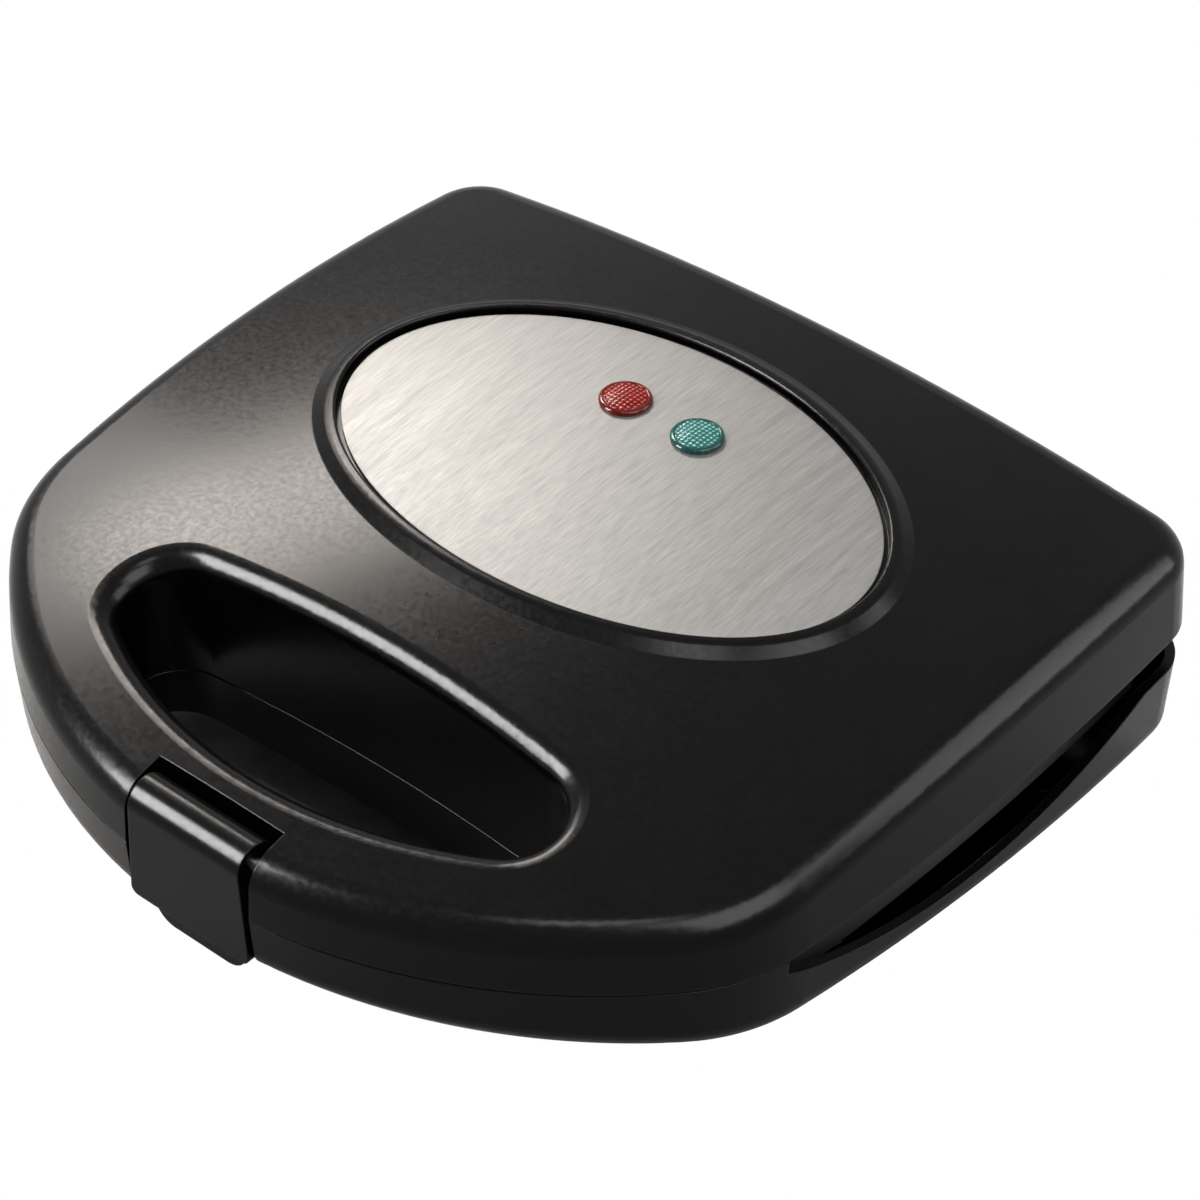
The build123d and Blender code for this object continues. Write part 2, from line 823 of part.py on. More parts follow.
def make_lid_case_screws():
    screws = []
    for x, y in case_screw_places():
        seat = parting_z + frame_face + screw_head + screw_end_gap
        shank = rod(x, y, seat, lid_screw_top(x, y) - screw_end_gap, screw_r)
        screws.append(shank + rod(x, y, seat - screw_head, seat, screw_head_r))
    return screws


def make_trim_plate():
    """The oval metal sheet that follows the dome, with two lens holes."""
    sheet = (ellipse_prism(0, seam_z, high) & crown_ball()) - crown_ball(-plate_sheet)
    for x, y in lens_places():
        sheet = sheet - rod(x, y, seam_z, high, lens_stem_r + lens_clearance)
    return sheet


def make_lens(x, y):
    """A domed button with a stem through the trim plate and the lid."""
    seat = crown_height(x, y)
    rise = lens_dome - lens_rim
    dome_r = (lens_r**2 + rise**2) / (2 * rise)
    rim = rod(x, y, seat - lens_base, seat + lens_rim, lens_r)
    ball = Pos(x, y, seat + lens_dome - dome_r) * Sphere(dome_r)
    cap = rim + (ball & rod(x, y, seat + lens_rim, high, 2 * lens_r))
    return (cap - crown_ball()) + rod(x, y, seat - lens_stem, seat + lens_rim / 2, lens_stem_r)


def make_lamps():
    board = lamp_board_z()
    return [rod(x, y, board, board + lamp_length, lamp_r) for x, y in lens_places()]


def make_lamp_board():
    top = lamp_board_z()
    y = plate_y + lens_back
    board = box(
        (-lamp_board_half_x, y - lamp_board_half_y, top - lamp_board_sheet),
        (lamp_board_half_x, y + lamp_board_half_y, top),
    )
    for x, y in lamp_screw_places():
        board = board - rod(x, y, top - lamp_board_sheet, top, lamp_screw_r)
    return board


def make_lamp_screws():
    seat = lamp_board_z() - lamp_board_sheet
    return [
        rod(x, y, seat, lamp_board_z() + lamp_screw_bite, lamp_screw_r)
        + rod(x, y, seat - lamp_screw_head, seat, 2 * lamp_screw_r)
        for x, y in lamp_screw_places()
    ]


def make_latch():
    """The front latch: a knuckle on its pin, a flared face, a hook and a thumb tongue."""
    face = make_face(
        Polyline(
            (-latch_top_half, latch_pivot_z),
            (latch_top_half, latch_pivot_z),
            (latch_foot_half, latch_foot_z),
            (-latch_foot_half, latch_foot_z),
            (-latch_top_half, latch_pivot_z),
        ).edges()
    )
    front = Plane(origin=(0, front_y, 0), x_dir=(1, 0, 0), z_dir=(0, -1, 0))
    sheet = extrude(front * face, amount=-latch_sheet)
    sheet = fillet(sheet.edges().filter_by(Axis.Y).sort_by(Axis.Z)[:2], latch_corner_r)
    tongue_height = latch_hook_z - tongue_z
    tongue_face = Rectangle(2 * tongue_half, tongue_height)
    tongue_face = fillet(tongue_face.vertices().sort_by(Axis.Y)[:2], tongue_corner_r)
    tongue_middle = Pos(0, tongue_z + tongue_height / 2, -latch_sheet)
    tongue = extrude(front * tongue_middle * tongue_face, amount=-latch_sheet)
    knuckle = latch_pin_rod(latch_top_half, latch_knuckle_r)
    return sheet + tongue + knuckle - latch_pin_rod(latch_top_half, latch_pin_r + latch_pin_play)


def make_thermostat():
    """The round snap thermostat on the back of the lower plate."""
    top = parting_z - plate_depth
    return rod(0, thermostat_y, top - thermostat_height, top, thermostat_r)


def make_thermal_fuse():
    """The thermal fuse in its seat under the lower reflector."""
    x = -heater_lead_x
    z = parting_z - fuse_depth
    seat_top = parting_z - reflector_depth - reflector_sheet
    low = (x - fuse_seat_half, fuse_y - fuse_seat_half, z)
    far = (x + fuse_seat_half, fuse_y + fuse_seat_half, seat_top)
    return box(low, far) + rod_y(x, fuse_y - fuse_length / 2, fuse_y + fuse_length / 2, z, fuse_r)


def make_terminal_block():
    """The terminal block on the base's floor."""
    block = box(
        (block_x - block_length / 2, block_y - block_width / 2, 0),
        (block_x + block_length / 2, block_y + block_width / 2, block_top),
    )
    return block & keel_ball(-wall)


def make_inlet_bush():
    """The round bush in the rear wall, through which a mains lead enters."""
    flange = rod_y(0, rear_y - 3 * inlet_flange, rear_y, inlet_z, inlet_flange_r) - base_form()
    bush = flange + rod_y(0, rear_y - inlet_length, rear_y, inlet_z, inlet_r)
    return bush - rod_y(0, rear_y - inlet_length, rear_y, inlet_z, inlet_bore_r)


def make_feet():
    return [
        rod(x, y, 0, foot_height, foot_r) + rod(x, y, foot_height, foot_height + foot_plug, foot_plug_r)
        for x, y in foot_places()
    ]


def make_hinge_pins():
    reach = lug_half + ear_gap + ear_sheet
    return [hinge_rod(side, reach, hinge_pin_r) for side in (-1, 1)]


def heater_lead_start(side, up):
    """The first points of a lead that leaves a heater's pin; up is 1 in the lid and -1 in the base."""
    x = side * heater_lead_x
    z = parting_z + up * (plate_depth + heater_r)
    start_y = heater_end_y - heater_pin
    return [(x, start_y, z), (x, wire_drop_y(), z)]


def make_base_wiring():
    """Leads from the heater, fuse and thermostat to the terminal block, and on to the hinge."""
    run_z = parting_z - fuse_depth
    drop_y = wire_drop_y()
    fuse_rear = fuse_y + fuse_length / 2
    block_left = block_x - block_length / 2
    block_front = block_y - block_width / 2
    block_right = block_x + block_length / 2
    to_fuse = heater_lead_start(-1, -1) + [
        (-heater_lead_x, drop_y, run_z),
        (-heater_lead_x, fuse_y - fuse_length / 2, run_z),
    ]
    from_fuse = [
        (-heater_lead_x, fuse_rear, run_z),
        (-heater_lead_x, block_y, run_z),
        (block_left, block_y, run_z),
    ]
    to_block = heater_lead_start(1, -1) + [
        (heater_lead_x, drop_y, run_z),
        (heater_lead_x, block_front - 2 * wire_block_run, run_z),
        (block_left + wire_block_inset, block_front - wire_block_run, run_z),
        (block_left + wire_block_inset, block_front, run_z),
    ]
    under = parting_z - plate_depth - thermostat_height
    low_z = under - 2 * wire_bend_r
    sensor = [
        (0, thermostat_y, under),
        (0, thermostat_y, low_z),
        (0, block_front - 2 * wire_block_run, low_z),
        (block_left + 2 * wire_block_inset, block_front - wire_block_run, low_z),
        (block_left + 2 * wire_block_inset, block_front, low_z),
    ]
    ear_x = hinge_x - lug_half - ear_gap - ear_sheet / 2
    to_hinge = [
        (block_right, block_y, run_z),
        (ear_x, block_y, run_z),
        (ear_x, hinge_y - ear_r, run_z),
    ]
    return [wire(points) for points in (to_fuse, from_fuse, to_block, sensor, to_hinge)]


def make_lid_wiring():
    """Leads from the upper heater's pins to the hinge lug on the right."""
    run_z = parting_z + lid_wire_height
    low_z = parting_z + lid_wire_low
    leads = []
    for side in (-1, 1):
        x = side * heater_lead_x
        around_x = side * (lamp_board_half_x + wire_board_gap)
        lug_x = hinge_x - side * wire_spacing
        across = wire_cross_y - side * wire_spacing
        run = [
            (x, wire_drop_y(), run_z),
            (around_x, wire_drop_y(), run_z),
            (around_x, across, run_z),
            (around_x, across, low_z),
            (lug_x, across, low_z),
            (lug_x, hinge_y - lug_r, low_z),
        ]
        leads.append(wire(heater_lead_start(side, 1) + run))
    return leads


# Assembly: every named piece in its place
def in_base(solid):
    return Pos(0, 0, parting_z) * solid


def in_lid(solid):
    return Pos(0, 0, parting_z) * mirror(solid, about=Plane.XY)


def make_pieces():
    """All pieces by name; a value is one solid or a list of separate solids."""
    heater = make_heater()
    clips = make_heater_clips()
    plate = make_waffle_plate()
    plate_screws = make_plate_screws()
    lead_holes = [wire_hole(-1), wire_hole(1)]
    sensor_hole = (0, thermostat_y, thermostat_r + thermostat_hole_gap)
    red_place, green_place = lens_places()
    return {
        "base_shell": make_base_shell(),
        "base_frame": in_base(make_base_frame()),
        "lower_waffle_plate": in_base(plate),
        "lower_plate_screws": [in_base(screw) for screw in plate_screws],
        "lower_heater": in_base(heater),
        "lower_heater_clips": [in_base(clip) for clip in clips],
        "lower_reflector": in_base(make_reflector([*lead_holes, sensor_hole])),
        "thermostat": make_thermostat(),
        "thermal_fuse": make_thermal_fuse(),
        "terminal_block": make_terminal_block(),
        "base_wiring": make_base_wiring(),
        "cord_inlet_bush": make_inlet_bush(),
        "base_case_screws": make_base_case_screws(),
        "rubber_feet": make_feet(),
        "hinge_pins": make_hinge_pins(),
        "lid_shell": make_lid_shell(),
        "lid_frame": in_lid(make_lid_frame()),
        "upper_waffle_plate": in_lid(plate),
        "upper_plate_screws": [in_lid(screw) for screw in plate_screws],
        "upper_heater": in_lid(heater),
        "upper_heater_clips": [in_lid(clip) for clip in clips],
        "upper_reflector": in_lid(make_reflector(lead_holes)),
        "lid_case_screws": make_lid_case_screws(),
        "lid_wiring": make_lid_wiring(),
        "trim_plate": make_trim_plate(),
        "red_lens": make_lens(*red_place),
        "green_lens": make_lens(*green_place),
        "indicator_lamps": make_lamps(),
        "lamp_board": make_lamp_board(),
        "lamp_screws": make_lamp_screws(),
        "latch": make_latch(),
        "latch_pin": latch_pin_rod(pocket_half + pocket_wall, latch_pin_r),
    }


def write_pieces():
    """Writes each named piece to its own file."""
    os.makedirs("parts", exist_ok=True)
    for name, piece in make_pieces().items():
        solids = piece if isinstance(piece, list) else [piece]
        shape = solids[0] if len(solids) == 1 else Compound(children=solids)
        export_step(shape, f"parts/{name}.step")


if __name__ == "__main__":
    write_pieces()
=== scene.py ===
"""Dresses the waffle maker: the view, the studio, the finishes and the pieces that show."""

import logging
import math
from dataclasses import dataclass, field
from enum import Enum

import bmesh
import bpy
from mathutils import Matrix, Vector


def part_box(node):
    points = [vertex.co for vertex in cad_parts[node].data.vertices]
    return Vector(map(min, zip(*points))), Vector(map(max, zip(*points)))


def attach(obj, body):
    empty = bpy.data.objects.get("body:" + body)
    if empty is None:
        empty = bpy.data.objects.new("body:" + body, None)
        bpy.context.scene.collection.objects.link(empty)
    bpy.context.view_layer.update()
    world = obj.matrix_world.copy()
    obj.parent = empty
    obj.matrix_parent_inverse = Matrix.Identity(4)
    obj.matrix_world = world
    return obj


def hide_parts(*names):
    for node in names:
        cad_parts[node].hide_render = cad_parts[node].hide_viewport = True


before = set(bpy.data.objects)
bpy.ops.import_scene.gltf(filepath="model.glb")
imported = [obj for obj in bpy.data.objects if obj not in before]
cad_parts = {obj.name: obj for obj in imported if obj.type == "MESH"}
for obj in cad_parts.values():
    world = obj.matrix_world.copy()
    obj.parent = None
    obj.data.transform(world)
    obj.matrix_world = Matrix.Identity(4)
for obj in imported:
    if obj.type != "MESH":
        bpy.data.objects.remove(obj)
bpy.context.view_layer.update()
MM = 0.001
log = logging.getLogger("waffle_maker")

Tone = tuple[float, float, float]
Span = tuple[float, float]
Socket = bpy.types.NodeSocket

# Most of what a noise texture gives lies between these two values.
NOISE_LOW = 0.3
NOISE_HIGH = 0.7
# A wave texture of scale 1 runs through this many radians per metre.
WAVE_RATE = 20.0
BEVEL_SAMPLES = 6
WHITE = (1.0, 1.0, 1.0, 1.0)


class Body(Enum):
    """The bodies that move against each other."""

    BASE = "base"
    LID = "lid"
    LATCH = "latch"


# ---------------------------------------------------------------- finishes


class Recipe:
    """One node material while it is being mixed."""

    def __init__(self, name: str) -> None:
        """Starts an empty material with a Principled shader.

        Args:
            name: the material's name.
        """
        self.material = bpy.data.materials.new(name)
        self.material.use_nodes = True
        self.tree = self.material.node_tree
        self.tree.nodes.clear()
        self.out = self.add("ShaderNodeOutputMaterial")
        self.shader = self.add("ShaderNodeBsdfPrincipled")
        self.join(self.shader.outputs[0], self.out.inputs["Surface"])
        self.place = self.add("ShaderNodeTexCoord").outputs["Object"]

    def add(self, kind: str, **settings: object) -> bpy.types.Node:
        """Adds a node.

        Args:
            kind: Blender's name of the node type.
            settings: attributes to set on it.

        Returns:
            The new node.
        """
        node = self.tree.nodes.new(kind)
        for name, value in settings.items():
            setattr(node, name, value)
        return node

    def join(self, start: Socket, end: Socket) -> None:
        """Links an output socket to an input socket."""
        self.tree.links.new(start, end)

    def stretched(self, scale: Tone, turn: float = 0.0) -> Socket:
        """Gives the object's coordinates, stretched and turned about Z.

        Args:
            scale: factors along X, Y and Z.
            turn: angle about Z in degrees.

        Returns:
            The vector socket.
        """
        node = self.add("ShaderNodeMapping")
        node.inputs["Scale"].default_value = scale
        node.inputs["Rotation"].default_value = (0.0, 0.0, math.radians(turn))
        self.join(self.place, node.inputs["Vector"])
        return node.outputs["Vector"]

    def noise(self, place: Socket, scale: float, detail: float = 3.0) -> Socket:
        """Gives a noise value.

        Args:
            place: the coordinates to use.
            scale: features per metre.
            detail: octaves.

        Returns:
            The value socket, about NOISE_LOW to NOISE_HIGH.
        """
        node = self.add("ShaderNodeTexNoise")
        node.inputs["Scale"].default_value = scale
        node.inputs["Detail"].default_value = detail
        self.join(place, node.inputs["Vector"])
        return node.outputs["Fac"]

    def wave(self, place: Socket, scale: float) -> Socket:
        """Gives straight waves along X.

        Args:
            place: the coordinates to use.
            scale: waves per metre, times 2 pi over WAVE_RATE.

        Returns:
            The value socket, 0 to 1.
        """
        node = self.add("ShaderNodeTexWave")
        node.inputs["Scale"].default_value = scale
        self.join(place, node.inputs["Vector"])
        return node.outputs["Fac"]

    def combined(self, operation: str, first: Socket, second: Socket,
                 clamped: bool = False) -> Socket:
        """Combines two values.

        Args:
            operation: Blender's name of the operation.
            first: one value socket.
            second: the other value socket.
            clamped: whether the result is held within 0 to 1.

        Returns:
            The value socket.
        """
        node = self.add("ShaderNodeMath", operation=operation, use_clamp=clamped)
        self.join(first, node.inputs[0])
        self.join(second, node.inputs[1])
        return node.outputs[0]

    def ranged(self, value: Socket, low: float, high: float, start: float = NOISE_LOW,
               stop: float = NOISE_HIGH) -> Socket:
        """Maps a value from start..stop to low..high.

        Args:
            value: the value socket.
            low: what start becomes.
            high: what stop becomes.
            start: the lower end of the value's own range.
            stop: the upper end of the value's own range.

        Returns:
            The mapped value socket.
        """
        node = self.add("ShaderNodeMapRange")
        for name, number in (("From Min", start), ("From Max", stop),
                             ("To Min", low), ("To Max", high)):
            node.inputs[name].default_value = number
        self.join(value, node.inputs["Value"])
        return node.outputs["Result"]

    def blended(self, value: Socket, dark: Tone, light: Tone) -> Socket:
        """Turns a value of NOISE_LOW to NOISE_HIGH into a colour between two tones.

        Args:
            value: the value socket.
            dark: the tone at NOISE_LOW.
            light: the tone at NOISE_HIGH.

        Returns:
            The colour socket.
        """
        node = self.add("ShaderNodeValToRGB")
        first, last = node.color_ramp.elements[0], node.color_ramp.elements[1]
        first.position, first.color = NOISE_LOW, (*dark, 1.0)
        last.position, last.color = NOISE_HIGH, (*light, 1.0)
        self.join(value, node.inputs["Fac"])
        return node.outputs["Color"]

    def bumped(self, height: Socket, depth: float, below: Socket | None = None) -> Socket:
        """Turns a height value into a normal.

        Args:
            height: the value socket.
            depth: how many metres a height of 1 stands for.
            below: a normal that this one adds to.

        Returns:
            The normal socket.
        """
        node = self.add("ShaderNodeBump")
        node.inputs["Distance"].default_value = depth
        self.join(height, node.inputs["Height"])
        if below is not None:
            self.join(below, node.inputs["Normal"])
        return node.outputs["Normal"]

    def worn_edges(self, radius: float) -> Socket | None:
        """Gives a normal that rounds each sharp edge a little.

        Args:
            radius: the rounding in metres, or 0 for none.

        Returns:
            The normal socket, or None for a radius of 0.
        """
        if not radius:
            return None
        node = self.add("ShaderNodeBevel", samples=BEVEL_SAMPLES)
        node.inputs["Radius"].default_value = radius
        return node.outputs["Normal"]

    def put(self, **sockets: object) -> None:
        """Sets or links the Principled shader's sockets.

        Args:
            sockets: a value or an output socket for each; an underscore stands for a space.
        """
        for name, value in sockets.items():
            socket = self.shader.inputs[name.replace("_", " ")]
            if isinstance(value, Socket):
                self.join(value, socket)
            else:
                socket.default_value = value


@dataclass(frozen=True)
class Moulded:
    """A moulded or cast surface: two close tones, mottled gloss and a fine grain."""

    name: str
    dark: Tone
    light: Tone
    rough: Span
    metallic: float = 0.0
    ior: float = 1.45
    grain: float = 1300.0
    grain_depth: float = 4e-6
    patches: float = 60.0
    edge: float = 0.0
    grain_detail: float = 2.0

    def mix(self) -> bpy.types.Material:
        """Mixes the finish.

        Returns:
            The new material.
        """
        recipe = Recipe(self.name)
        wide = recipe.noise(recipe.place, self.patches)
        fine = recipe.noise(recipe.place, self.grain, self.grain_detail)
        edges = recipe.worn_edges(self.edge)
        recipe.put(Base_Color=recipe.blended(wide, self.dark, self.light),
                   Roughness=recipe.ranged(fine, *self.rough),
                   Metallic=self.metallic, IOR=self.ior,
                   Normal=recipe.bumped(fine, self.grain_depth, edges))
        return recipe.material


@dataclass(frozen=True)
class Brushed:
    """Brushed, rolled or scuffed material with lines along one direction."""

    name: str
    dark: Tone
    light: Tone
    rough: Span
    across: Tone
    lines: float
    line_depth: float = 2e-6
    edge: float = 0.0
    metallic: float = 1.0
    ior: float = 1.5
    line_detail: float = 4.0
    lines_per_band: float = 6.0

    def mix(self) -> bpy.types.Material:
        """Mixes the finish.

        Returns:
            The new material.
        """
        recipe = Recipe(self.name)
        place = recipe.stretched(self.across)
        streaks = recipe.noise(place, self.lines, self.line_detail)
        bands = recipe.noise(place, self.lines / self.lines_per_band)
        edges = recipe.worn_edges(self.edge)
        recipe.put(Base_Color=recipe.blended(streaks, self.dark, self.light),
                   Roughness=recipe.ranged(bands, *self.rough),
                   Metallic=self.metallic, IOR=self.ior,
                   Normal=recipe.bumped(streaks, self.line_depth, edges))
        return recipe.material


@dataclass(frozen=True)
class Sleeve:
    """A braided sleeve: two crossed wave patterns, their lines 2 pi times the pitch apart."""

    name: str
    dark: Tone
    light: Tone
    pitch: float = 1.2 * MM
    strand_turn: float = 40.0
    strand_depth: float = 5e-5
    rough: float = 0.75

    def mix(self) -> bpy.types.Material:
        """Mixes the finish.

        Returns:
            The new material.
        """
        recipe = Recipe(self.name)
        scale = 1.0 / (self.pitch * WAVE_RATE)
        crossed = [recipe.wave(recipe.stretched((1.0, 1.0, 1.0), turn), scale)
                   for turn in (self.strand_turn, -self.strand_turn)]
        both = recipe.combined("MAXIMUM", *crossed)
        recipe.put(Base_Color=recipe.blended(both, self.dark, self.light), Roughness=self.rough,
                   Normal=recipe.bumped(both, self.strand_depth))
        return recipe.material


@dataclass(frozen=True)
class TintedClear:
    """Tinted plastic under a smooth clear coat in rows of small pillows, its colour lighter on
    the pillow tops and darker in the grooves: painted highlight and shade over the real pillow
    pattern.
    """

    name: str
    lit_pillow_tint: Tone
    shaded_groove_tint: Tone
    pitch: float = 1.15 * MM
    pillow_depth: float = 5e-5
    rough: float = 0.22
    clearness: float = 0.0
    ior: float = 1.12
    coat_rough: float = 0.04
    coat_ior: float = 1.17
    pillow_span: Span = (0.0, 0.75)
    tone_span: Span = (0.25, 0.66)
    mottle: float = 0.06
    mottle_scale: float = 500.0

    def mix(self) -> bpy.types.Material:
        """Mixes the finish.

        Returns:
            The new material.
        """
        recipe = Recipe(self.name)
        scale = 2.0 * math.pi / (WAVE_RATE * self.pitch)
        rows = [recipe.wave(recipe.stretched((1.0, 1.0, 0.0), turn), scale)
                for turn in (0.0, 90.0)]
        both = recipe.combined("MULTIPLY", *rows)
        spots = recipe.ranged(recipe.noise(recipe.place, self.mottle_scale),
                              -self.mottle, self.mottle)
        # Colour follows the pillows' height: painted highlight on their tops, painted shade in
        # the grooves, plus random mottle.
        tone = recipe.combined("ADD", recipe.ranged(both, *self.tone_span, *self.pillow_span),
                               spots)
        recipe.put(Base_Color=recipe.blended(tone, self.shaded_groove_tint, self.lit_pillow_tint), Roughness=self.rough,
                   IOR=self.ior, Transmission_Weight=self.clearness, Coat_Weight=1.0,
                   Coat_Roughness=self.coat_rough, Coat_IOR=self.coat_ior,
                   Normal=recipe.bumped(both, self.pillow_depth))
        return recipe.material


Finish = Moulded | Brushed | Sleeve | TintedClear

SATIN_BLACK = Moulded("satin_black_plastic", (0.0022, 0.0022, 0.0025), (0.0036, 0.0036, 0.004),
                      (0.18, 0.26), ior=1.17, grain=800.0, grain_depth=6.5e-6, edge=0.5 * MM)
MATT_BLACK = Moulded("matt_black_plastic", (0.012, 0.012, 0.012), (0.02, 0.02, 0.02),
                     (0.5, 0.6), grain=2200.0, grain_depth=1.2e-5)
SCUFFED_BLACK = Brushed("scuffed_black_liner", (0.010, 0.010, 0.010), (0.055, 0.055, 0.055),
                        (0.34, 0.5), (0.06, 0.06, 1.0), 1500.0, 1e-5, edge=0.3 * MM,
                        metallic=0.0, ior=1.3)
COATED = Moulded("non_stick_coating", (0.016, 0.016, 0.017), (0.034, 0.034, 0.035),
                 (0.36, 0.5), ior=1.5, grain=2600.0, grain_depth=1.5e-5, patches=400.0)
ZINC = Brushed("zinc_plated_steel", (0.42, 0.42, 0.41), (0.7, 0.69, 0.66), (0.25, 0.38),
               (1.0, 1.0, 0.1), 2200.0)
OXIDISED = Moulded("oxidised_steel_tube", (0.12, 0.11, 0.10), (0.3, 0.29, 0.27), (0.4, 0.55),
                   1.0, 1.5, grain=900.0, grain_depth=6e-6, patches=90.0)
CAST_ALUMINIUM = Moulded("cast_aluminium", (0.42, 0.42, 0.42), (0.6, 0.6, 0.59), (0.42, 0.55),
                         1.0, 1.5, grain=1500.0, grain_depth=2e-5, patches=200.0)
BRIGHT_SHEET = Brushed("bright_aluminium_sheet", (0.66, 0.66, 0.67), (0.8, 0.8, 0.8),
                       (0.2, 0.32), (0.03, 1.0, 1.0), 1800.0, 1e-6)
PLAIN_CAN = Moulded("plain_can", (0.45, 0.44, 0.41), (0.62, 0.6, 0.56), (0.28, 0.4),
                    1.0, 1.5, grain=900.0, grain_depth=3e-6)
OFF_WHITE = Moulded("off_white_plastic", (0.66, 0.64, 0.58), (0.78, 0.76, 0.7), (0.45, 0.55),
                    ior=1.5, grain=1800.0, grain_depth=1e-5)
RUBBER = Moulded("black_rubber", (0.014, 0.014, 0.014), (0.03, 0.03, 0.029), (0.65, 0.8),
                 grain=2400.0, grain_depth=2e-5)
BRAID = Sleeve("braided_sleeve", (0.4, 0.38, 0.33), (0.76, 0.74, 0.67))
TRIM_STEEL = Brushed("brushed_trim_steel", (0.106, 0.104, 0.102), (0.142, 0.140, 0.137),
                     (0.47, 0.55), (1.0, 0.045, 1.0), 2600.0, 1.4e-6, edge=0.4 * MM)
# Lens colours run from the grooves to the pillow tops: painted shade and painted highlight.
RED_CLEAR = TintedClear("red_lens_pillows", (0.66, 0.05, 0.032), (0.10, 0.003, 0.002))
GREEN_CLEAR = TintedClear("green_lens_pillows", (0.26, 0.60, 0.57), (0.014, 0.12, 0.11))
RED_RIM = TintedClear("red_lens_rim", (0.20, 0.010, 0.007), (0.13, 0.005, 0.004),
                      pillow_depth=0.0, rough=0.1)
GREEN_RIM = TintedClear("green_lens_rim", (0.022, 0.12, 0.105), (0.012, 0.08, 0.07),
                        pillow_depth=0.0, rough=0.1)
LAMP_GLASS = TintedClear("lamp_glass", (0.8, 0.8, 0.78), (0.6, 0.6, 0.58),
                         pillow_depth=0.0, clearness=0.85)
LAMINATE = Brushed("brown_laminate", (0.24, 0.14, 0.06), (0.4, 0.26, 0.12), (0.5, 0.6),
                   (0.1, 1.0, 1.0), 1500.0)

NODE_FINISHES: dict[str, Finish] = {
    "base_shell": SATIN_BLACK, "lid_shell": SATIN_BLACK, "latch": SATIN_BLACK,
    "base_frame": MATT_BLACK, "lid_frame": SCUFFED_BLACK, "cord_inlet_bush": MATT_BLACK,
    "lower_waffle_plate": COATED, "upper_waffle_plate": COATED,
    "lower_plate_screws": ZINC, "upper_plate_screws": ZINC,
    "base_case_screws": ZINC, "lid_case_screws": ZINC,
    "lamp_screws": ZINC, "hinge_pins": ZINC, "latch_pin": ZINC,
    "lower_heater": OXIDISED, "upper_heater": OXIDISED,
    "lower_heater_clips": CAST_ALUMINIUM, "upper_heater_clips": CAST_ALUMINIUM,
    "lower_reflector": BRIGHT_SHEET, "upper_reflector": BRIGHT_SHEET,
    "thermostat": PLAIN_CAN, "thermal_fuse": PLAIN_CAN,
    "terminal_block": OFF_WHITE, "base_wiring": BRAID, "lid_wiring": BRAID,
    "rubber_feet": RUBBER, "trim_plate": TRIM_STEEL,
    "red_lens": RED_CLEAR, "green_lens": GREEN_CLEAR,
    "indicator_lamps": LAMP_GLASS, "lamp_board": LAMINATE,
}


@dataclass
class FinishShelf:
    """Mixes each finish once and hands out its material."""

    mixed: dict[str, bpy.types.Material] = field(default_factory=dict)

    def material(self, finish: Finish) -> bpy.types.Material:
        """Gives a finish's material, mixed at its first use.

        Args:
            finish: one of the finishes above.

        Returns:
            The material.
        """
        if finish.name not in self.mixed:
            self.mixed[finish.name] = finish.mix()
        return self.mixed[finish.name]


# ---------------------------------------------------------------- view and studio


@dataclass
class View:
    """The camera at the photograph's place and angle."""

    place: tuple[float, float, float] = (0.48142, -0.53070, 0.65704)
    target: tuple[float, float, float] = (0.03141, -0.00980, 0.076)
    lens: float = 123.549
    sensor: float = 36.0
    near: float = 0.05

    def set_up(self) -> None:
        """Makes the camera and gives it to the scene."""
        data = bpy.data.cameras.new("view")
        data.lens = self.lens
        data.sensor_width = self.sensor
        data.sensor_fit = "HORIZONTAL"
        data.clip_start = self.near
        camera = bpy.data.objects.new("view", data)
        bpy.context.scene.collection.objects.link(camera)
        camera.location = self.place
        toward = Vector(self.target) - Vector(self.place)
        camera.rotation_euler = toward.to_track_quat("-Z", "Y").to_euler()
        bpy.context.scene.camera = camera


@dataclass(frozen=True)
class Softbox:
    """One rectangular lamp that points at the object from a direction, given in degrees."""

    name: str
    azimuth: float
    elevation: float
    distance: float
    width: float
    height: float
    radiance: float
    colour: Tone = (1.0, 1.0, 1.0)
    gloss_only: bool = False

    def hang(self, target: Vector) -> None:
        """Makes the lamp, at a power that gives its surface the stated radiance.

        Args:
            target: the point that it faces.
        """
        data = bpy.data.lights.new(self.name, "AREA")
        data.shape = "RECTANGLE"
        data.size = self.width
        data.size_y = self.height
        data.energy = self.radiance * self.width * self.height * math.pi
        data.color = self.colour
        lamp = bpy.data.objects.new(self.name, data)
        lamp.visible_diffuse = not self.gloss_only
        bpy.context.scene.collection.objects.link(lamp)
        azimuth, elevation = math.radians(self.azimuth), math.radians(self.elevation)
        way = Vector((math.cos(elevation) * math.cos(azimuth),
                      math.cos(elevation) * math.sin(azimuth), math.sin(elevation)))
        lamp.location = target + way * self.distance
        lamp.rotation_euler = (-way).to_track_quat("-Z", "Y").to_euler()


